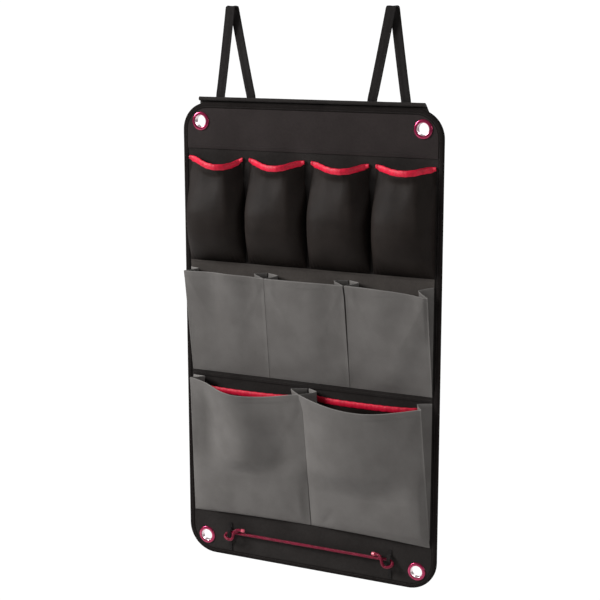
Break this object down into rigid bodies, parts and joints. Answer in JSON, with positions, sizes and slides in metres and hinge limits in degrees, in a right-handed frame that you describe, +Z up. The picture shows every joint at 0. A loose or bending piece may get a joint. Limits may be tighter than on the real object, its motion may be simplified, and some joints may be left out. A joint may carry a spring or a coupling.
{
  "type": "hanging pocket organizer",
  "caption": "Cloth panel that hangs by webbing loops, with rows of open pockets, corner eyelets, a piping strip along its top and an elastic cord across its foot.",
  "frame": {"origin": "midway between the undersides of the two loops' folds, where they bear on their hooks", "axes": "+Z up, -Y the way the pockets face, +X to the right seen from the front"},
  "size_m": [0.42, 0.0615, 0.857],
  "materials": {
    "black_canvas": "matt woven polyester, black",
    "header_cloth": "matt coated cloth, black",
    "black_tape": "fine ribbed tape, black",
    "board_plastic": "plain sheet, sewn inside",
    "piping_cord": "smooth round core",
    "black_knit": "soft stretch knit, black",
    "grey_polyester": "woven polyester, mid grey",
    "red_elastic": "folded elastic, bright red",
    "red_cord": "braided elastic cord, crimson",
    "crimson_enamel": "glossy metallic crimson",
    "black_webbing": "flat woven webbing, black",
    "cord_cap": "clear pinkish red"
  },
  "bodies": {
    "panel": {"front_cover": "black_canvas", "rear_cover": "black_canvas", "rail_sleeve": "black_canvas", "header_cloth": "header_cloth", "edge_binding": "black_tape", "upper_seam_tape": "black_tape", "middle_seam_tape": "black_tape", "stiffener_board": "board_plastic", "rail_piping_cord": "piping_cord", "eyelet_top_left": "crimson_enamel", "eyelet_top_right": "crimson_enamel", "eyelet_bottom_left": "crimson_enamel", "eyelet_bottom_right": "crimson_enamel", "eyelet_washer_top_left": "crimson_enamel", "eyelet_washer_top_right": "crimson_enamel", "eyelet_washer_bottom_left": "crimson_enamel", "eyelet_washer_bottom_right": "crimson_enamel", "knit_pocket_1": "black_knit", "knit_pocket_2": "black_knit", "knit_pocket_3": "black_knit", "knit_pocket_4": "black_knit", "inner_pocket_left": "black_knit", "inner_pocket_right": "black_knit", "knit_pocket_1_red_elastic": "red_elastic", "knit_pocket_2_red_elastic": "red_elastic", "knit_pocket_3_red_elastic": "red_elastic", "knit_pocket_4_red_elastic": "red_elastic", "inner_pocket_left_red_elastic": "red_elastic", "inner_pocket_right_red_elastic": "red_elastic", "middle_pocket_1_left_gusset": "grey_polyester", "middle_pocket_1_right_gusset": "grey_polyester", "middle_pocket_2_left_gusset": "grey_polyester", "middle_pocket_2_right_gusset": "grey_polyester", "middle_pocket_3_left_gusset": "grey_polyester", "middle_pocket_3_right_gusset": "grey_polyester", "large_pocket_1_left_gusset": "grey_polyester", "large_pocket_1_right_gusset": "grey_polyester", "large_pocket_2_left_gusset": "grey_polyester", "large_pocket_2_right_gusset": "grey_polyester", "left_loop_sewn_end_a": "black_webbing", "left_loop_sewn_end_b": "black_webbing", "right_loop_sewn_end_a": "black_webbing", "right_loop_sewn_end_b": "black_webbing", "cord_tab_left": "black_webbing", "cord_tab_right": "black_webbing", "elastic_cord": "red_cord", "cord_cap_left": "cord_cap", "cord_cap_right": "cord_cap"},
    "left_loop": {"left_hanging_loop": "black_webbing"},
    "right_loop": {"right_hanging_loop": "black_webbing"},
    "middle_pocket_1": {"middle_pocket_1_front": "grey_polyester"},
    "middle_pocket_2": {"middle_pocket_2_front": "grey_polyester"},
    "middle_pocket_3": {"middle_pocket_3_front": "grey_polyester"},
    "large_pocket_1": {"large_pocket_1_front": "grey_polyester"},
    "large_pocket_2": {"large_pocket_2_front": "grey_polyester"}
  },
  "joints": [
    {"name": "left_loop_swing", "type": "hinge", "parent": "panel", "child": "left_loop", "pos_m": [-0.1275, 0, -0.1313], "axis": [1, 0, 0], "range_deg": [-110, 95]},
    {"name": "right_loop_swing", "type": "hinge", "parent": "panel", "child": "right_loop", "pos_m": [0.1275, 0, -0.1313], "axis": [1, 0, 0], "range_deg": [-110, 95]},
    {"name": "middle_pocket_1_open", "type": "hinge", "parent": "panel", "child": "middle_pocket_1", "pos_m": [-0.13353, -0.0079, -0.5559], "axis": [1, 0, 0], "range_deg": [-7, 6], "stiffness_Nm_per_rad": 0.15, "deforming": ["middle_pocket_1_left_gusset", "middle_pocket_1_right_gusset"]},
    {"name": "middle_pocket_2_open", "type": "hinge", "parent": "panel", "child": "middle_pocket_2", "pos_m": [0, -0.0079, -0.5559], "axis": [1, 0, 0], "range_deg": [-7, 6], "stiffness_Nm_per_rad": 0.15, "deforming": ["middle_pocket_2_left_gusset", "middle_pocket_2_right_gusset"]},
    {"name": "middle_pocket_3_open", "type": "hinge", "parent": "panel", "child": "middle_pocket_3", "pos_m": [0.13353, -0.0079, -0.5559], "axis": [1, 0, 0], "range_deg": [-7, 6], "stiffness_Nm_per_rad": 0.15, "deforming": ["middle_pocket_3_left_gusset", "middle_pocket_3_right_gusset"]},
    {"name": "large_pocket_1_open", "type": "hinge", "parent": "panel", "child": "large_pocket_1", "pos_m": [-0.10015, -0.0079, -0.7869], "axis": [1, 0, 0], "range_deg": [-5, 4], "stiffness_Nm_per_rad": 0.3, "deforming": ["large_pocket_1_left_gusset", "large_pocket_1_right_gusset"]},
    {"name": "large_pocket_2_open", "type": "hinge", "parent": "panel", "child": "large_pocket_2", "pos_m": [0.10015, -0.0079, -0.7869], "axis": [1, 0, 0], "range_deg": [-5, 4], "stiffness_Nm_per_rad": 0.3, "deforming": ["large_pocket_2_left_gusset", "large_pocket_2_right_gusset"]}
  ]
}
